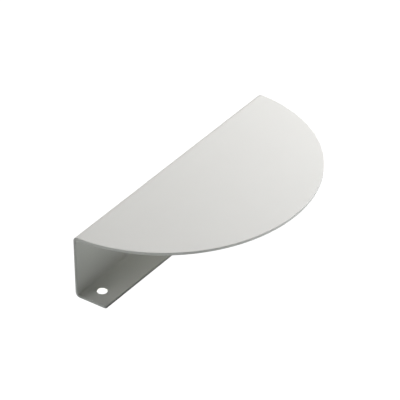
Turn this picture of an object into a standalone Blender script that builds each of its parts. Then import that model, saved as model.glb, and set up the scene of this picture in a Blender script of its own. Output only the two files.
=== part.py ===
"""Lip pull folded from one sheet: a half-moon plate, an upright web and a drilled return flange.

Metres, +Z up. The origin lies on the flange's seat face, midway between its two screw holes.
+X runs along the folds, +Y points out of the back of the web, and +Z points from the flange
to the plate. The board that the pull wraps goes between the flange and the plate.
"""

import math

import bmesh
import bpy

# Driving sizes, in metres.
PLATE_RADIUS = 0.075
HEIGHT = 0.0345
SHEET = 0.0015
BEND_INNER_RADIUS = 0.001
FLANGE_REACH = 0.018
FLANGE_CORNER_RADIUS = 0.001
HOLE_DIAMETER = 0.005
HOLE_INSET = 0.009
EDGE_ROUND = 0.0002
ARC_RUN_OUT = 0.0005

# Facets in each kind of curve.
PLATE_SEGMENTS = 128
BEND_SEGMENTS = 10
CORNER_SEGMENTS = 6
HOLE_SEGMENTS = 48
EDGE_SEGMENTS = 2

# Working values: how far a cutter passes the sheet, when two points are one, how far a flat
# face may turn, which edges count as cut ones, and which stay sharp in the shading.
CUTTER_REACH = 0.004
SAME_POINT = 0.000001
QUARTER_TURN = math.pi / 2
FLAT_ANGLE = math.radians(1)
CUT_EDGE_ANGLE = math.radians(40)
SMOOTH_ANGLE = math.radians(50)

# Places that follow from the sizes. The half moon's straight side is the pull's length.
HALF_LENGTH = PLATE_RADIUS
LENGTH = 2 * HALF_LENGTH
BEND_OUTER_RADIUS = BEND_INNER_RADIUS + SHEET
SEAT_Z = 0.0
UNDERSIDE_Z = SEAT_Z - SHEET
TOP_Z = UNDERSIDE_Z + HEIGHT
BACK_Y = HOLE_INSET
FRONT_Y = BACK_Y - FLANGE_REACH
APEX_Y = BACK_Y - PLATE_RADIUS
FOLD_Y = BACK_Y - BEND_OUTER_RADIUS
LOWER_FOLD_Z = UNDERSIDE_Z + BEND_OUTER_RADIUS
UPPER_FOLD_Z = TOP_Z - BEND_OUTER_RADIUS
HOLE_X = HALF_LENGTH - HOLE_INSET


def clear_scene():
    """Remove whatever objects the file opened with."""
    for item in list(bpy.data.objects):
        bpy.data.objects.remove(item, do_unlink=True)


def add_collection(name):
    """Add a collection to the scene."""
    collection = bpy.data.collections.new(name)
    bpy.context.scene.collection.children.link(collection)
    return collection


def arc(centre, radius, start, end, segments):
    """Points along a circular arc, ends included, with angles in radians."""
    points = []
    for i in range(segments + 1):
        angle = start + (end - start) * i / segments
        x = centre[0] + radius * math.cos(angle)
        y = centre[1] + radius * math.sin(angle)
        points.append((x, y))
    return points


def section_outline():
    """The folded sheet seen end on: Y across, Z up, outer skin first and then back inside."""
    lower = (FOLD_Y, LOWER_FOLD_Z)
    upper = (FOLD_Y, UPPER_FOLD_Z)
    outer_skin = [(FRONT_Y, UNDERSIDE_Z)]
    outer_skin += arc(lower, BEND_OUTER_RADIUS, -QUARTER_TURN, 0.0, BEND_SEGMENTS)
    outer_skin += arc(upper, BEND_OUTER_RADIUS, 0.0, QUARTER_TURN, BEND_SEGMENTS)
    outer_skin += [(APEX_Y, TOP_Z)]
    inner_skin = [(APEX_Y, TOP_Z - SHEET)]
    inner_skin += arc(upper, BEND_INNER_RADIUS, QUARTER_TURN, 0.0, BEND_SEGMENTS)
    inner_skin += arc(lower, BEND_INNER_RADIUS, 0.0, -QUARTER_TURN, BEND_SEGMENTS)
    inner_skin += [(FRONT_Y, SEAT_Z)]
    return outer_skin + inner_skin


def plate_window():
    """The opening of the plate's trimming tool, seen from above.

    Its arc passes through the apex and through the sheet's ends just in front of the fold,
    and it is wider than the sheet behind them, so the folds and the web keep square ends.
    """
    rise = FOLD_Y - ARC_RUN_OUT - APEX_Y
    radius = (HALF_LENGTH ** 2 + rise ** 2) / (2 * rise)
    centre = (0.0, APEX_Y + radius)
    window = arc(centre, radius, -math.pi, 0.0, PLATE_SEGMENTS)
    behind_y = BACK_Y + CUTTER_REACH
    return window + [(radius, behind_y), (-radius, behind_y)]


def plate_surround(window):
    """A rectangle that clears the opening and the sheet all round."""
    side_x = max(x for x, _ in window) + CUTTER_REACH
    front_y = APEX_Y - CUTTER_REACH
    back_y = BACK_Y + 2 * CUTTER_REACH
    return [(-side_x, front_y), (side_x, front_y), (side_x, back_y), (-side_x, back_y)]


def extruded(name, outlines, depth, location, rotation, collection):
    """Make one solid from flat outlines, where an outline inside another is a hole."""
    curve = bpy.data.curves.new(name, "CURVE")
    curve.dimensions = "2D"
    curve.fill_mode = "BOTH"
    curve.extrude = depth / 2
    for outline in outlines:
        spline = curve.splines.new("POLY")
        spline.points.add(len(outline) - 1)
        for point, (x, y) in zip(spline.points, outline):
            point.co = (x, y, 0.0, 1.0)
        spline.use_cyclic_u = True
    drawing = bpy.data.objects.new(name, curve)
    drawing.location = location
    drawing.rotation_euler = rotation
    collection.objects.link(drawing)
    bpy.context.view_layer.update()
    evaluated = drawing.evaluated_get(bpy.context.evaluated_depsgraph_get())
    mesh = bpy.data.meshes.new_from_object(evaluated)
    placing = drawing.matrix_world.copy()
    bpy.data.objects.remove(drawing, do_unlink=True)
    bpy.data.curves.remove(curve)
    weld_caps(mesh)
    solid = bpy.data.objects.new(name, mesh)
    solid.matrix_world = placing
    collection.objects.link(solid)
    return solid


def weld_caps(mesh):
    """Join a filled curve's caps to its sides and clear the lines across its flat faces."""
    shape = bmesh.new()
    shape.from_mesh(mesh)
    bmesh.ops.remove_doubles(shape, verts=shape.verts, dist=SAME_POINT)
    bmesh.ops.dissolve_limit(
        shape,
        angle_limit=FLAT_ANGLE,
        verts=shape.verts,
        edges=shape.edges,
    )
    bmesh.ops.recalc_face_normals(shape, faces=shape.faces)
    shape.to_mesh(mesh)
    shape.free()


def folded_sheet(collection):
    """The sheet folded twice, still square at the end of its plate."""
    return extruded(
        "lip_pull",
        [section_outline()],
        LENGTH,
        (0.0, 0.0, 0.0),
        (QUARTER_TURN, 0.0, QUARTER_TURN),
        collection,
    )


def round_flange_corners(pull):
    """Round the two upright edges at the flange's free side."""
    shape = bmesh.new()
    shape.from_mesh(pull.data)
    weight = shape.edges.layers.float.new("bevel_weight_edge")
    for edge in shape.edges:
        ends = [pull.matrix_world @ vertex.co for vertex in edge.verts]
        upright = abs(ends[0].x - ends[1].x) < SAME_POINT
        at_free_side = all(abs(end.y - FRONT_Y) < SAME_POINT for end in ends)
        at_flange = all(end.z < SEAT_Z + SAME_POINT for end in ends)
        if upright and at_free_side and at_flange:
            edge[weight] = 1.0
    shape.to_mesh(pull.data)
    shape.free()
    bevel = pull.modifiers.new("flange_corners", "BEVEL")
    bevel.limit_method = "WEIGHT"
    bevel.width = FLANGE_CORNER_RADIUS
    bevel.segments = CORNER_SEGMENTS


def plate_trimmer(collection):
    """The tool that takes away the sheet outside the half moon."""
    window = plate_window()
    return extruded(
        "plate_trimmer",
        [plate_surround(window), window],
        SHEET + 2 * CUTTER_REACH,
        (0.0, 0.0, TOP_Z - SHEET / 2),
        (0.0, 0.0, 0.0),
        collection,
    )


def screw_hole_drill(name, x, collection):
    """The tool for one screw hole, straight through the flange."""
    bpy.ops.mesh.primitive_cylinder_add(
        vertices=HOLE_SEGMENTS,
        radius=HOLE_DIAMETER / 2,
        depth=SHEET + 2 * CUTTER_REACH,
        location=(x, BACK_Y - HOLE_INSET, SEAT_Z - SHEET / 2),
    )
    drill = bpy.context.active_object
    drill.name = name
    for holder in list(drill.users_collection):
        holder.objects.unlink(drill)
    collection.objects.link(drill)
    return drill


def cut(pull, tool):
    """Take one tool's shape away from the sheet."""
    tool.hide_render = True
    tool.display_type = "WIRE"
    boolean = pull.modifiers.new(tool.name, "BOOLEAN")
    boolean.operation = "DIFFERENCE"
    boolean.solver = "EXACT"
    boolean.object = tool


def soften_edges(pull):
    """Round every cut edge a little, as its coating does."""
    bevel = pull.modifiers.new("cut_edges", "BEVEL")
    bevel.limit_method = "ANGLE"
    bevel.angle_limit = CUT_EDGE_ANGLE
    bevel.width = EDGE_ROUND
    bevel.segments = EDGE_SEGMENTS
    bevel.loop_slide = False
    bevel.harden_normals = True
    pull.data.shade_smooth()
    pull.data.set_sharp_from_angle(angle=SMOOTH_ANGLE)


def powder_coat():
    """Matt, pale warm grey powder coat, the part's only finish."""
    material = bpy.data.materials.new("pale_grey_powder_coat")
    material.use_nodes = True
    shader = material.node_tree.nodes["Principled BSDF"]
    shader.inputs["Base Color"].default_value = (0.66, 0.655, 0.625, 1.0)
    shader.inputs["Metallic"].default_value = 0.0
    shader.inputs["Roughness"].default_value = 0.55
    return material


def build():
    """Build the lip pull from its folded sheet to its softened edges."""
    clear_scene()
    parts = add_collection("lip_pull")
    tools = add_collection("cutters")
    tools.hide_render = True
    pull = folded_sheet(parts)
    pull.data.materials.append(powder_coat())
    round_flange_corners(pull)
    cut(pull, plate_trimmer(tools))
    cut(pull, screw_hole_drill("left_screw_hole", -HOLE_X, tools))
    cut(pull, screw_hole_drill("right_screw_hole", HOLE_X, tools))
    soften_edges(pull)


build()
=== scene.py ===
"""Looks of the lip pull: one powder-coated folded sheet on a bright studio floor.

The pull is made here as a workshop makes it. A flat blank is cut and drilled, its rims are
rounded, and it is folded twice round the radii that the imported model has. It then stands for
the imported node, in the same frame: metres, +Z up, the origin on the flange's seat face.
"""

import logging
import math
from dataclasses import dataclass, field
from enum import Enum

import bmesh
import bpy
from mathutils import Matrix, Vector


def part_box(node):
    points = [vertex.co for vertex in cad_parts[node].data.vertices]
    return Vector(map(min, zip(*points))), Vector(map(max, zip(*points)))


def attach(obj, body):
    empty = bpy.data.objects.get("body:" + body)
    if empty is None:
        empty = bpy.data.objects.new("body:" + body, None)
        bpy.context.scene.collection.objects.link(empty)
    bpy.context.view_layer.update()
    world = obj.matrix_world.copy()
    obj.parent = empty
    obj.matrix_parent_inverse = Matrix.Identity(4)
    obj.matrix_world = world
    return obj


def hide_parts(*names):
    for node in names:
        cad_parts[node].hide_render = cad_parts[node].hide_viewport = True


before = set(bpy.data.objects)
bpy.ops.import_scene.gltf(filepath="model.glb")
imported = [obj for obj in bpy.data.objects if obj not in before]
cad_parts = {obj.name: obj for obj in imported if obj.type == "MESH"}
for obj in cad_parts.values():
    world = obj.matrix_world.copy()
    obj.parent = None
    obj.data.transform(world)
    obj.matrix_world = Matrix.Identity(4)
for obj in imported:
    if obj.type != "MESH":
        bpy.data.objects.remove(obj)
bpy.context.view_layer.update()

LOG = logging.getLogger("lip_pull")
NODE = "lip_pull"
BODY = "root"
PHOTO_WIDTH_PX = 400
MM = 0.001
QUARTER_TURN = math.pi / 2
SAME_POINT = 0.001 * MM

# The sRGB curve is straight near black and a power curve above that.
SRGB_STRAIGHT_END = 0.04045
SRGB_SLOPE = 12.92
SRGB_OFFSET = 0.055
SRGB_POWER = 2.4

# The mix node has one set of sockets for each kind of data, and these are the colour ones.
MIX_COLOUR_A = 6
MIX_COLOUR_B = 7
MIX_COLOUR_OUT = 2

Point = tuple[float, float]
Place = tuple[float, float, float]


class CardFacing(Enum):
    """The ways that a black card can face. Both of its sides are black."""

    CUT_EDGE = (0.0, 1.0, 0.0)
    SHEET_END = (1.0, 0.0, 0.0)
    SKY = (0.0, 0.0, 1.0)


def linear_colour(hex_code: str) -> tuple[float, float, float, float]:
    """Turn an sRGB hex colour into the linear colour that shaders take.

    Args:
        hex_code: Six hex digits, red first, with or without a leading #.

    Returns:
        Linear red, green and blue, and an alpha of 1.
    """
    digits = hex_code.lstrip("#")
    channels = []
    for start in (0, 2, 4):
        value = int(digits[start:start + 2], 16) / 255
        low = value / SRGB_SLOPE
        high = ((value + SRGB_OFFSET) / (1 + SRGB_OFFSET)) ** SRGB_POWER
        channels.append(low if value <= SRGB_STRAIGHT_END else high)
    return (channels[0], channels[1], channels[2], 1.0)


def add_node(
    tree: bpy.types.NodeTree,
    kind: str,
    settings: dict[str, object] | None = None,
    values: dict[str, object] | None = None,
    links: dict[str, bpy.types.NodeSocket] | None = None,
) -> bpy.types.Node:
    """Add one shader node with its settings, socket values and incoming links.

    Args:
        tree: The node tree that gets the node.
        kind: Blender's name for the node type.
        settings: Properties of the node itself.
        values: Input sockets to set, by name.
        links: Input sockets to connect, by name, each with the output that feeds it.

    Returns:
        The new node.
    """
    node = tree.nodes.new(kind)
    for name, value in (settings or {}).items():
        setattr(node, name, value)
    for name, value in (values or {}).items():
        node.inputs[name].default_value = value
    for name, source in (links or {}).items():
        tree.links.new(source, node.inputs[name])
    return node


def bare_material(name: str) -> bpy.types.Material:
    """Make a node material with no nodes in it yet.

    Args:
        name: The finish that it is for.

    Returns:
        The empty material.
    """
    material = bpy.data.materials.new(name)
    material.use_nodes = True
    material.node_tree.nodes.clear()
    return material


def flat_mesh(name: str, width: float, depth: float) -> bpy.types.Mesh:
    """Make one flat rectangle round the origin, facing up.

    Args:
        name: The mesh's name.
        width: Its side along X.
        depth: Its side along Y.

    Returns:
        The mesh, of a single face.
    """
    shape = bmesh.new()
    half = 0.5
    bmesh.ops.create_grid(shape, x_segments=1, y_segments=1, size=half)
    bmesh.ops.scale(shape, vec=(width, depth, 1.0), verts=shape.verts)
    mesh = bpy.data.meshes.new(name)
    shape.to_mesh(mesh)
    shape.free()
    return mesh


def arc(centre: Point, radius: float, start: float, end: float, steps: int) -> list[Point]:
    """Points along a circular arc, both ends included.

    Args:
        centre: The arc's centre.
        radius: Its radius.
        start: The first point's angle, in radians.
        end: The last point's angle.
        steps: How many straight pieces the arc has.

    Returns:
        The points in order.
    """
    points = []
    for i in range(steps + 1):
        angle = start + (end - start) * i / steps
        points.append((centre[0] + radius * math.cos(angle), centre[1] + radius * math.sin(angle)))
    return points


def direction(azimuth: float, elevation: float) -> Vector:
    """The unit vector from the pull towards a place round it.

    Args:
        azimuth: Degrees, 0 in front of the pull and 90 at its right end.
        elevation: Degrees above the floor.

    Returns:
        The vector.
    """
    turn = math.radians(azimuth)
    rise = math.radians(elevation)
    return Vector(
        (math.sin(turn) * math.cos(rise), -math.cos(turn) * math.cos(rise), math.sin(rise))
    )


@dataclass(frozen=True)
class Softbox:
    """A studio light with a flat, oblong glowing face.

    Attributes:
        name: What the light is for.
        azimuth: Degrees round its aim, 0 in front of the pull and 90 at its right end.
        elevation: Degrees above the aim.
        distance: Metres from the aim.
        width: Of its glowing face, in metres.
        height: Of the same face.
        power: Watts.
        colour: sRGB hex colour.
        aim: What the light points at.
        spread: Degrees that its light opens to, less where a grid holds it in.
    """

    name: str
    azimuth: float
    elevation: float
    distance: float
    width: float
    height: float
    power: float
    colour: str = "#ffffff"
    aim: Place = (0.0, 0.0, 0.0)
    spread: float = 180.0

    def build(self) -> bpy.types.Object:
        """Hang the light and point it.

        Returns:
            The light.
        """
        lamp = bpy.data.lights.new(self.name, "AREA")
        lamp.shape = "RECTANGLE"
        lamp.size = self.width
        lamp.size_y = self.height
        lamp.energy = self.power
        lamp.color = linear_colour(self.colour)[:3]
        lamp.spread = math.radians(self.spread)
        light = bpy.data.objects.new(self.name, lamp)
        bpy.context.scene.collection.objects.link(light)
        away = direction(self.azimuth, self.elevation)
        light.location = Vector(self.aim) + away * self.distance
        light.rotation_mode = "QUATERNION"
        light.rotation_quaternion = (-away).to_track_quat("-Z", "Y")
        return light


@dataclass(frozen=True)
class Flag:
    """A black card close to one cut face, which keeps stray light off it.

    The camera doesn't see it, as if it were painted out of the picture.

    Attributes:
        name: What it shades.
        centre: Its middle.
        width: Its level side, in metres.
        height: Its upright side, or its depth where it lies flat.
        facing: The way that it faces.
        colour: sRGB hex colour, the dark grey that black card really has.
    """

    name: str
    centre: Place
    width: float
    height: float
    facing: CardFacing
    colour: str = "#262626"

    def build(self) -> bpy.types.Object:
        """Set the card up.

        Returns:
            The card, which is part of the studio and not of the pull.
        """
        mesh = flat_mesh(self.name, self.width, self.height)
        card = bpy.data.objects.new(self.name, mesh)
        card.location = self.centre
        card.rotation_mode = "QUATERNION"
        card.rotation_quaternion = Vector(self.facing.value).to_track_quat("Z", "Y")
        card.visible_camera = False
        bpy.context.scene.collection.objects.link(card)
        material = bare_material("black_card")
        tree = material.node_tree
        matt = add_node(tree, "ShaderNodeBsdfDiffuse", values={"Color": linear_colour(self.colour)})
        add_node(tree, "ShaderNodeOutputMaterial", links={"Surface": matt.outputs["BSDF"]})
        mesh.materials.append(material)
        return card


@dataclass(frozen=True)
class PowderCoat:
    """Matt polyester powder coat, sprayed dry and baked on steel.

    The melted powder leaves a soft orange peel with a faint grain on it, so the light rolls
    off in a broad sheen with no clear reflection, and the colour is very slightly uneven.

    Attributes:
        pale: The coat's colour where it is thickest.
        deep: Its colour where it is a little thinner.
        roughness: The sheen's spread, typical of a matt coat.
        ior: Typical of polyester resin.
        peel_mm: Width of one orange-peel wave.
        peel_height_mm: How high such a wave stands.
        grain_mm: Width of one grain of melted powder, drawn coarser than the real 0.05 mm
            so that it shows at all in a render.
        grain_height_mm: How high a grain stands.
        cloud_mm: Width of the faint clouds in the colour.
    """

    pale: str = "#e3e2dd"
    deep: str = "#e1e0db"
    roughness: float = 0.5
    ior: float = 1.5
    peel_mm: float = 1.8
    peel_height_mm: float = 0.006
    grain_mm: float = 0.35
    grain_height_mm: float = 0.0015
    cloud_mm: float = 14.0

    def material(self) -> bpy.types.Material:
        """Make the coat's node material.

        Returns:
            The material, ready for a piece's slot.
        """
        material = bare_material("matt_powder_coat")
        tree = material.node_tree
        place = add_node(tree, "ShaderNodeTexCoord").outputs["Object"]
        clouds = add_node(
            tree,
            "ShaderNodeTexNoise",
            values={"Scale": 1 / (self.cloud_mm * MM), "Detail": 3.0, "Roughness": 0.55},
            links={"Vector": place},
        )
        colour = add_node(
            tree,
            "ShaderNodeMix",
            settings={"data_type": "RGBA"},
            links={"Factor": clouds.outputs["Fac"]},
        )
        colour.inputs[MIX_COLOUR_A].default_value = linear_colour(self.deep)
        colour.inputs[MIX_COLOUR_B].default_value = linear_colour(self.pale)
        peel = add_node(
            tree,
            "ShaderNodeTexNoise",
            values={"Scale": 1 / (self.peel_mm * MM), "Detail": 1.5, "Roughness": 0.4},
            links={"Vector": place},
        )
        grain = add_node(
            tree,
            "ShaderNodeTexNoise",
            values={"Scale": 1 / (self.grain_mm * MM), "Detail": 2.0, "Roughness": 0.6},
            links={"Vector": place},
        )
        grain_bump = add_node(
            tree,
            "ShaderNodeBump",
            values={"Strength": 1.0, "Distance": self.grain_height_mm * MM},
            links={"Height": grain.outputs["Fac"]},
        )
        peel_bump = add_node(
            tree,
            "ShaderNodeBump",
            values={"Strength": 1.0, "Distance": self.peel_height_mm * MM},
            links={"Height": peel.outputs["Fac"], "Normal": grain_bump.outputs["Normal"]},
        )
        shader = add_node(
            tree,
            "ShaderNodeBsdfPrincipled",
            values={"Roughness": self.roughness, "IOR": self.ior, "Metallic": 0.0},
            links={
                "Base Color": colour.outputs[MIX_COLOUR_OUT],
                "Normal": peel_bump.outputs["Normal"],
            },
        )
        add_node(tree, "ShaderNodeOutputMaterial", links={"Surface": shader.outputs["BSDF"]})
        return material


@dataclass
class LipPull:
    """The folded sheet: half-moon plate, web and flange with two screw holes.

    The blank lies in a plane with X along the folds and S across them, from the flange's free
    edge (S = 0) to the plate's apex. S is measured along the middle of the sheet's thickness,
    so folding neither stretches nor shrinks it there.

    Attributes:
        length: The pull's length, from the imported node's box.
        depth: From the web's back to the plate's apex, from the same box.
        height: Over both outer faces, from the same box.
        back_y: The web's back face.
        underside_z: The flange's outer face.
        sheet: The steel's gauge.
        bend_inner_radius: Inside radius of both folds.
        flange_reach: From the web's back to the flange's free edge.
        flange_corner_radius: In plan, at the flange's two free corners.
        hole_diameter: Of both screw holes.
        hole_inset: From the sheet's end, and from the web's back.
        arc_run_out: Straight side between the upper fold and the start of the plate's arc.
        rim_radius: Of every cut edge under its coat.
        arc_steps: Straight pieces in the plate's arc.
        bend_steps: Strips in each fold.
        corner_steps: Straight pieces in a flange corner.
        hole_steps: Straight pieces in a screw hole.
        rim_steps: Strips in each rounded rim.
        rim_angle: Least angle in degrees between two faces at a cut edge.
        round_profile: Bevel profile that makes a circular arc.
        grid: Spacing of the mesh's lines across the flat areas.
        wall_lean: Largest Z that the unit normal of a cut wall has.
        face_lean: Smallest Z that the unit normal of a flat face has.
    """

    length: float
    depth: float
    height: float
    back_y: float
    underside_z: float
    sheet: float = 1.5 * MM
    bend_inner_radius: float = 1.0 * MM
    flange_reach: float = 18.0 * MM
    flange_corner_radius: float = 1.0 * MM
    hole_diameter: float = 5.0 * MM
    hole_inset: float = 9.0 * MM
    arc_run_out: float = 0.5 * MM
    rim_radius: float = 0.25 * MM
    arc_steps: int = 360
    bend_steps: int = 24
    corner_steps: int = 12
    hole_steps: int = 96
    rim_steps: int = 5
    rim_angle: float = 60.0
    round_profile: float = 0.5
    grid: float = 5.0 * MM
    wall_lean: float = 0.02
    face_lean: float = 0.999

    @classmethod
    def from_frame(cls) -> "LipPull":
        """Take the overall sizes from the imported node's box.

        Returns:
            The pull, ready to be built.
        """
        low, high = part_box(NODE)
        size = high - low
        return cls(length=size.x, depth=size.y, height=size.z, back_y=high.y, underside_z=low.z)

    @property
    def bend_outer_radius(self) -> float:
        """Outside radius of both folds."""
        return self.bend_inner_radius + self.sheet

    @property
    def bend_middle_radius(self) -> float:
        """Radius of the middle of the sheet in a fold."""
        return self.bend_inner_radius + self.sheet / 2

    @property
    def bend_run(self) -> float:
        """How much of the blank one fold takes, along the middle of the sheet."""
        return QUARTER_TURN * self.bend_middle_radius

    @property
    def lower_fold_s(self) -> float:
        """Where the lower fold starts on the blank."""
        return self.flange_reach - self.bend_outer_radius

    @property
    def upper_fold_s(self) -> float:
        """Where the upper fold starts on the blank."""
        web = self.height - 2 * self.bend_outer_radius
        return self.lower_fold_s + self.bend_run + web

    @property
    def plate_s(self) -> float:
        """Where the flat plate starts on the blank."""
        return self.upper_fold_s + self.bend_run

    @property
    def apex_s(self) -> float:
        """The far end of the blank, at the plate's apex."""
        return self.plate_s + self.depth - self.bend_outer_radius

    def outline(self) -> list[Point]:
        """Draw the blank's rim.

        Returns:
            Its points in X and S, anticlockwise from the flange's left corner.
        """
        half = self.length / 2
        corner = self.flange_corner_radius
        rise = self.apex_s - self.plate_s - self.arc_run_out
        radius = (half ** 2 + rise ** 2) / (2 * rise)
        centre = (0.0, self.apex_s - radius)
        start = math.atan2(rise - radius, half)
        left = arc((corner - half, corner), corner, math.pi, 3 * QUARTER_TURN, self.corner_steps)
        right = arc((half - corner, corner), corner, -QUARTER_TURN, 0.0, self.corner_steps)
        moon = arc(centre, radius, -start, math.pi + start, self.arc_steps)
        return left + right + moon

    def holes(self) -> list[list[Point]]:
        """Draw the rims of the two screw holes.

        Returns:
            The points of each rim in X and S, the left hole's first.
        """
        hole_x = self.length / 2 - self.hole_inset
        hole_s = self.flange_reach - self.hole_inset
        rims = []
        for x in (-hole_x, hole_x):
            ring = arc((x, hole_s), self.hole_diameter / 2, 0.0, 4 * QUARTER_TURN, self.hole_steps)
            rims.append(ring[:-1])
        return rims

    def blank(self) -> bmesh.types.BMesh:
        """Cut the flat blank with its holes, as thick as the sheet, and close its caps.

        Returns:
            The blank, centred on its own thickness.
        """
        curve = bpy.data.curves.new("blank_outline", "CURVE")
        curve.dimensions = "2D"
        curve.fill_mode = "BOTH"
        curve.extrude = self.sheet / 2
        for rim in [self.outline(), *self.holes()]:
            spline = curve.splines.new("POLY")
            spline.points.add(len(rim) - 1)
            for point, (x, s) in zip(spline.points, rim):
                point.co = (x, s, 0.0, 1.0)
            spline.use_cyclic_u = True
        drawing = bpy.data.objects.new("blank_outline", curve)
        bpy.context.scene.collection.objects.link(drawing)
        bpy.context.view_layer.update()
        mesh = bpy.data.meshes.new_from_object(
            drawing.evaluated_get(bpy.context.evaluated_depsgraph_get())
        )
        shape = bmesh.new()
        shape.from_mesh(mesh)
        bpy.data.objects.remove(drawing)
        bpy.data.curves.remove(curve)
        bpy.data.meshes.remove(mesh)
        bmesh.ops.remove_doubles(shape, verts=shape.verts, dist=SAME_POINT)
        bmesh.ops.recalc_face_normals(shape, faces=shape.faces)
        return shape

    def round_rims(self, shape: bmesh.types.BMesh) -> None:
        """Round every cut edge of the blank, as its coat does.

        Args:
            shape: The blank, changed in place.
        """
        least = math.radians(self.rim_angle)
        rims = [edge for edge in shape.edges if edge.calc_face_angle(0.0) > least]
        bmesh.ops.bevel(
            shape,
            geom=rims,
            offset=self.rim_radius,
            segments=self.rim_steps,
            profile=self.round_profile,
            affect="EDGES",
            loop_slide=False,
        )

    def rule_lines(self, shape: bmesh.types.BMesh) -> None:
        """Draw mesh lines where the blank bends, and an even grid across its flat areas.

        Args:
            shape: The blank, changed in place.
        """
        across = []
        for start in (self.lower_fold_s, self.upper_fold_s):
            for i in range(self.bend_steps + 1):
                across.append(start + self.bend_run * i / self.bend_steps)
        flats = (
            (0.0, self.lower_fold_s),
            (self.lower_fold_s + self.bend_run, self.upper_fold_s),
            (self.plate_s, self.apex_s),
        )
        for start, end in flats:
            count = max(1, round((end - start) / self.grid))
            across += [start + (end - start) * i / count for i in range(1, count)]
        columns = round(self.length / self.grid)
        along = [self.length * (i / columns - 0.5) for i in range(1, columns)]
        for s in across:
            self.rule(shape, Vector((0.0, s, 0.0)), Vector((0.0, 1.0, 0.0)))
        for x in along:
            self.rule(shape, Vector((x, 0.0, 0.0)), Vector((1.0, 0.0, 0.0)))

    @staticmethod
    def rule(shape: bmesh.types.BMesh, point: Vector, normal: Vector) -> None:
        """Draw one mesh line right round the blank.

        Args:
            shape: The blank, changed in place.
            point: A point on the line's plane.
            normal: The plane's normal.
        """
        bmesh.ops.bisect_plane(
            shape,
            geom=[*shape.verts, *shape.edges, *shape.faces],
            plane_co=point,
            plane_no=normal,
            dist=SAME_POINT,
        )

    def blank_normals(self, shape: bmesh.types.BMesh) -> list[Vector]:
        """Which way the coat faces at each point of the blank.

        A point of a face or of a cut wall faces as that does, up to its very edge, and only
        the points inside a rounded rim turn from one to the other.

        Args:
            shape: The flat blank.

        Returns:
            One unit vector a vertex, in the order of the vertices.
        """
        shape.normal_update()
        normals = []
        for vertex in shape.verts:
            plain = []
            for face in vertex.link_faces:
                if not self.wall_lean < abs(face.normal.z) < self.face_lean:
                    plain.append(face)
            total = Vector()
            for face in plain or vertex.link_faces:
                total += face.normal * face.calc_area()
            normals.append(total.normalized())
        return normals

    def turn(self, s: float) -> float:
        """How far the folded sheet has turned at a place on the blank.

        Args:
            s: Place across the folds.

        Returns:
            Radians, from 0 in the flange to half a turn in the plate.
        """
        first = min(max(s - self.lower_fold_s, 0.0), self.bend_run)
        second = min(max(s - self.upper_fold_s, 0.0), self.bend_run)
        return (first + second) / self.bend_middle_radius

    def folded(self, x: float, s: float, lift: float) -> Vector:
        """Where a point of the blank lands once it is folded.

        Args:
            x: Place along the folds.
            s: Place across them, on the blank.
            lift: Height over the middle of the sheet, towards the outside of the folds.

        Returns:
            The point in the frame.
        """
        fold_y = self.back_y - self.bend_outer_radius
        lower_z = self.underside_z + self.bend_outer_radius
        upper_z = self.underside_z + self.height - self.bend_outer_radius
        reach = self.bend_middle_radius + lift
        turn = self.turn(s)
        out_y = reach * math.sin(turn)
        out_z = -reach * math.cos(turn)
        if s <= self.lower_fold_s:
            return Vector((x, fold_y - (self.lower_fold_s - s), lower_z + out_z))
        if s <= self.lower_fold_s + self.bend_run:
            return Vector((x, fold_y + out_y, lower_z + out_z))
        if s <= self.upper_fold_s:
            return Vector((x, fold_y + out_y, lower_z + s - self.lower_fold_s - self.bend_run))
        if s <= self.plate_s:
            return Vector((x, fold_y + out_y, upper_z + out_z))
        return Vector((x, fold_y - (s - self.plate_s), upper_z + out_z))

    def fold(self, shape: bmesh.types.BMesh) -> list[Vector]:
        """Fold the blank twice.

        Args:
            shape: The blank, changed in place.

        Returns:
            Which way the coat faces at each vertex of the folded sheet.
        """
        facing = []
        for vertex, flat in zip(shape.verts, self.blank_normals(shape)):
            x, s, lift = vertex.co
            turn = self.turn(s)
            along = Vector((0.0, math.cos(turn), math.sin(turn)))
            outwards = Vector((0.0, math.sin(turn), -math.cos(turn)))
            facing.append(Vector((flat.x, 0.0, 0.0)) + along * flat.y + outwards * flat.z)
            vertex.co = self.folded(x, s, lift)
        # The blank's upper side becomes the outside, which mirrors it, so its faces turn over.
        bmesh.ops.reverse_faces(shape, faces=shape.faces)
        return facing

    def build(self, coat: PowderCoat) -> bpy.types.Object:
        """Cut, round, fold and coat the pull.

        Args:
            coat: The finish all over it.

        Returns:
            The finished piece, riding on the part's body.
        """
        shape = self.blank()
        self.round_rims(shape)
        self.rule_lines(shape)
        facing = self.fold(shape)
        mesh = bpy.data.meshes.new("folded_sheet")
        shape.to_mesh(mesh)
        shape.free()
        mesh.shade_smooth()
        mesh.normals_split_custom_set_from_vertices(facing)
        mesh.materials.append(coat.material())
        piece = bpy.data.objects.new("folded_sheet", mesh)
        bpy.context.scene.collection.objects.link(piece)
        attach(piece, BODY)
        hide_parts(NODE)
        return piece


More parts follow.
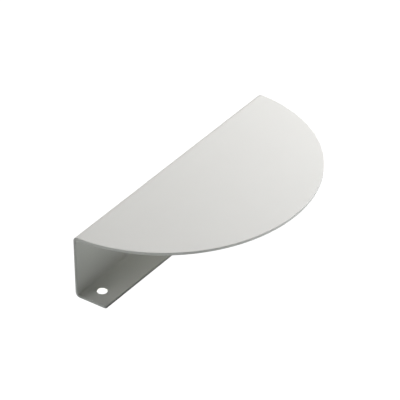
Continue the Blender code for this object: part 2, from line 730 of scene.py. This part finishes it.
@dataclass(frozen=True)
class CloseLighting:
    """The tiny lamp and the black cards that stand within millimetres of the pull.

    Attributes:
        pull: What they light and shade.
        lamp_azimuth: Degrees round the left screw hole, on the camera's side of it.
        lamp_slope: Degrees that the beam points down by.
        lamp_distance: From the middle of the hole.
        lamp_width: Less than the hole is wide there.
        lamp_height: Less than the sheet's thickness.
        lamp_power: Watts.
        lamp_spread: Degrees, so that the beam stays on the hole's wall.
        kerb_gap: From the flange's cut edge to the card that stands in front of it.
        kerb_height: Of that card.
        kerb_lift: Its lower edge over the flange's underside.
        strip_depth: Of the card that lies in front of the same edge.
        strip_tuck: How far that card reaches in under the flange.
        strip_drop: How far it lies below the flange's underside, just over the floor.
        web_gap: From each end of the web to the card that stands beside it.
        web_card_width: Of those two cards.
        web_card_inset: Their middle, from the web's back.
        web_card_foot: Their lower edge over the flange's underside.
        left_card_height: Of the one at the left end.
        right_card_height: Of the one at the right end.
    """

    pull: LipPull
    lamp_azimuth: float = -53.5
    lamp_slope: float = 20.0
    lamp_distance: float = 1.0 * MM
    lamp_width: float = 4.2 * MM
    lamp_height: float = 0.8 * MM
    lamp_power: float = 0.00006
    lamp_spread: float = 60.0
    kerb_gap: float = 1.1 * MM
    kerb_height: float = 0.64 * MM
    kerb_lift: float = 0.02 * MM
    strip_depth: float = 1.8 * MM
    strip_tuck: float = 0.5 * MM
    strip_drop: float = 0.03 * MM
    web_gap: float = 3.4 * MM
    web_card_width: float = 2.4 * MM
    web_card_inset: float = 0.7 * MM
    web_card_foot: float = 3.0 * MM
    left_card_height: float = 30.0 * MM
    right_card_height: float = 23.5 * MM

    def hole_lamp(self) -> Softbox:
        """The lamp that fills the left screw hole's wall with light, from inside the hole.

        Returns:
            A lamp smaller than the hole, with a beam that stays on the wall.
        """
        pull = self.pull
        middle = (
            pull.hole_inset - pull.length / 2,
            pull.back_y - pull.hole_inset,
            pull.underside_z + pull.sheet / 2,
        )
        return Softbox(
            name="hole_light",
            azimuth=self.lamp_azimuth,
            elevation=self.lamp_slope,
            distance=self.lamp_distance,
            width=self.lamp_width,
            height=self.lamp_height,
            power=self.lamp_power,
            aim=middle,
            spread=self.lamp_spread,
        )

    def flange_cards(self) -> list[Flag]:
        """The cards along the flange's cut edge.

        Returns:
            A kerb that stands in front of it, and a strip that lies there.
        """
        pull = self.pull
        front = pull.back_y - pull.flange_reach
        kerb_z = pull.underside_z + self.kerb_lift + self.kerb_height / 2
        kerb = (0.0, front - self.kerb_gap, kerb_z)
        strip_y = front + self.strip_tuck - self.strip_depth / 2
        strip = (0.0, strip_y, pull.underside_z - self.strip_drop)
        return [
            Flag("flange_kerb_flag", kerb, pull.length, self.kerb_height, CardFacing.CUT_EDGE),
            Flag("flange_strip_flag", strip, pull.length, self.strip_depth, CardFacing.SKY),
        ]

    def web_cards(self) -> list[Flag]:
        """The cards at the ends of the web.

        Returns:
            One that stands beside each end, the left one first.
        """
        pull = self.pull
        end = pull.length / 2 + self.web_gap
        web_y = pull.back_y - self.web_card_inset
        foot = pull.underside_z + self.web_card_foot
        sides = (
            ("left_web_flag", -end, self.left_card_height),
            ("right_web_flag", end, self.right_card_height),
        )
        cards = []
        for name, x, height in sides:
            centre = (x, web_y, foot + height / 2)
            cards.append(Flag(name, centre, self.web_card_width, height, CardFacing.SHEET_END))
        return cards


@dataclass
class Studio:
    """The white floor, the even light round it, the softboxes and the flags.

    Attributes:
        floor_z: Height of the floor, at the flange's underside.
        floor_gap: Hair's breadth between the floor and the flange, so that neither shows
            through the other.
        floor_size: Width of the floor in metres.
        floor_colour: What the floor gives back to the pull.
        white: How bright the camera sees the floor and the walls, just over white so that
            they stay even up to the corners.
        glow: Strength of the light that comes up through the floor.
        glow_colour: Colour of that light.
        fill: Strength of the even light from the pale walls all round.
        fill_colour: Colour of that light.
        boxes: The softboxes.
        flags: The black cards.
    """

    floor_z: float
    floor_gap: float = 0.05 * MM
    floor_size: float = 6.0
    floor_colour: str = "#dcdcdc"
    white: float = 1.1
    glow: float = 0.1835
    glow_colour: str = "#f3fffa"
    fill: float = 0.0507
    fill_colour: str = "#f7fcff"
    boxes: list[Softbox] = field(default_factory=list)
    flags: list[Flag] = field(default_factory=list)

    def build(self) -> None:
        """Lay the floor and light it."""
        self.build_floor()
        self.build_world()
        for box in self.boxes:
            box.build()
        for flag in self.flags:
            flag.build()

    def build_floor(self) -> bpy.types.Object:
        """Lay the floor: plain white to the eye, and a soft, faintly lit reflector to the pull.

        It has one side, so the pull's underside shows from below.

        Returns:
            The floor, which is part of the studio and not of the pull.
        """
        mesh = flat_mesh("floor", self.floor_size, self.floor_size)
        floor = bpy.data.objects.new("floor", mesh)
        floor.location = (0.0, 0.0, self.floor_z - self.floor_gap)
        bpy.context.scene.collection.objects.link(floor)
        material = bare_material("white_floor")
        tree = material.node_tree
        seen = add_node(tree, "ShaderNodeLightPath").outputs["Is Camera Ray"]
        white = add_node(tree, "ShaderNodeEmission", values={"Strength": self.white})
        matt = add_node(
            tree,
            "ShaderNodeBsdfDiffuse",
            values={"Color": linear_colour(self.floor_colour)},
        )
        glow = add_node(
            tree,
            "ShaderNodeEmission",
            values={"Strength": self.glow, "Color": linear_colour(self.glow_colour)},
        )
        lit = add_node(tree, "ShaderNodeAddShader")
        tree.links.new(matt.outputs["BSDF"], lit.inputs[0])
        tree.links.new(glow.outputs["Emission"], lit.inputs[1])
        mixed = add_node(tree, "ShaderNodeMixShader", links={"Fac": seen})
        tree.links.new(lit.outputs["Shader"], mixed.inputs[1])
        tree.links.new(white.outputs["Emission"], mixed.inputs[2])
        beneath = add_node(tree, "ShaderNodeNewGeometry").outputs["Backfacing"]
        clear = add_node(tree, "ShaderNodeBsdfTransparent")
        one_sided = add_node(tree, "ShaderNodeMixShader", links={"Fac": beneath})
        tree.links.new(mixed.outputs["Shader"], one_sided.inputs[1])
        tree.links.new(clear.outputs["BSDF"], one_sided.inputs[2])
        add_node(tree, "ShaderNodeOutputMaterial", links={"Surface": one_sided.outputs["Shader"]})
        mesh.materials.append(material)
        return floor

    def build_world(self) -> bpy.types.World:
        """Light the studio evenly, with a white background.

        Returns:
            The world that the scene now has.
        """
        world = bpy.data.worlds.new("studio")
        world.use_nodes = True
        tree = world.node_tree
        tree.nodes.clear()
        seen = add_node(tree, "ShaderNodeLightPath").outputs["Is Camera Ray"]
        white = add_node(
            tree,
            "ShaderNodeBackground",
            values={"Strength": self.white, "Color": linear_colour("#ffffff")},
        )
        even = add_node(
            tree,
            "ShaderNodeBackground",
            values={"Strength": self.fill, "Color": linear_colour(self.fill_colour)},
        )
        mixed = add_node(tree, "ShaderNodeMixShader", links={"Fac": seen})
        tree.links.new(even.outputs["Background"], mixed.inputs[1])
        tree.links.new(white.outputs["Background"], mixed.inputs[2])
        add_node(tree, "ShaderNodeOutputWorld", links={"Surface": mixed.outputs["Shader"]})
        bpy.context.scene.world = world
        return world


@dataclass(frozen=True)
class PhotoCamera:
    """The camera that took the photograph, as its edges give it.

    Attributes:
        azimuth: Degrees round the pull, 0 in front and -90 at its left end.
        elevation: Degrees above the floor.
        roll: Degrees that the camera is turned about its own axis.
        distance: Metres from the aim.
        focal_px: Focal length in the photograph's pixels.
        aim: The point at the picture's centre.
        sensor_mm: Width of a full-frame sensor.
        nearest: Metres from the lens at which the picture starts.
        farthest: Metres at which it ends, well past the floor.
    """

    azimuth: float = -53.54
    elevation: float = 34.536
    roll: float = -1.002
    distance: float = 1.5684
    focal_px: float = 3241.5
    aim: Place = (0.00579, -0.00531, 0.0135)
    sensor_mm: float = 36.0
    nearest: float = 0.01
    farthest: float = 100.0

    def build(self) -> bpy.types.Object:
        """Set up the camera and make it the scene's own.

        Returns:
            The camera.
        """
        lens = bpy.data.cameras.new("photo_camera")
        lens.sensor_fit = "HORIZONTAL"
        lens.sensor_width = self.sensor_mm
        lens.lens = self.focal_px * lens.sensor_width / PHOTO_WIDTH_PX
        lens.clip_start = self.nearest
        lens.clip_end = self.farthest
        camera = bpy.data.objects.new("photo_camera", lens)
        bpy.context.scene.collection.objects.link(camera)
        back = direction(self.azimuth, self.elevation)
        right = Vector((0.0, 0.0, 1.0)).cross(back).normalized()
        up = back.cross(right)
        turn = math.radians(self.roll)
        right, up = (
            right * math.cos(turn) + up * math.sin(turn),
            up * math.cos(turn) - right * math.sin(turn),
        )
        place = Matrix((right, up, back)).transposed().to_4x4()
        place.translation = Vector(self.aim) + back * self.distance
        camera.matrix_world = place
        bpy.context.scene.camera = camera
        return camera


def large_lights() -> list[Softbox]:
    """The large softboxes round the pull.

    Returns:
        The key by its right end, one a little behind that, and the fill behind its left end.
    """
    return [
        Softbox(
            name="right_key",
            azimuth=73.0,
            elevation=38.0,
            distance=0.62,
            width=0.9,
            height=0.5,
            power=5.1,
            colour="#f9fbff",
        ),
        Softbox(
            name="rear_key",
            azimuth=100.0,
            elevation=45.0,
            distance=0.9,
            width=0.6,
            height=0.6,
            power=2.27,
            colour="#fff9f2",
        ),
        Softbox(
            name="left_fill",
            azimuth=-120.0,
            elevation=40.0,
            distance=1.2,
            width=0.5,
            height=0.5,
            power=2.36,
            colour="#fdfeff",
        ),
    ]


def set_plain_colours() -> None:
    """Show colours as they are, with no film look."""
    view = bpy.context.scene.view_settings
    view.view_transform = "Standard"
    view.look = "None"
    view.exposure = 0.0
    view.gamma = 1.0


def main() -> None:
    """Build the pull, the studio and the camera, in that order."""
    logging.basicConfig(level=logging.INFO, format="%(name)s: %(message)s")
    set_plain_colours()
    pull = LipPull.from_frame()
    piece = pull.build(PowderCoat())
    mesh = piece.data
    LOG.info("%s: %d vertices, %d faces", piece.name, len(mesh.vertices), len(mesh.polygons))
    close = CloseLighting(pull)
    studio = Studio(
        floor_z=pull.underside_z,
        boxes=[*large_lights(), close.hole_lamp()],
        flags=[*close.flange_cards(), *close.web_cards()],
    )
    studio.build()
    LOG.info("studio: floor, %d softboxes and %d flags", len(studio.boxes), len(studio.flags))
    camera = PhotoCamera().build()
    LOG.info("%s: %.1f mm lens", camera.name, camera.data.lens)


if __name__ == "__main__":
    main()
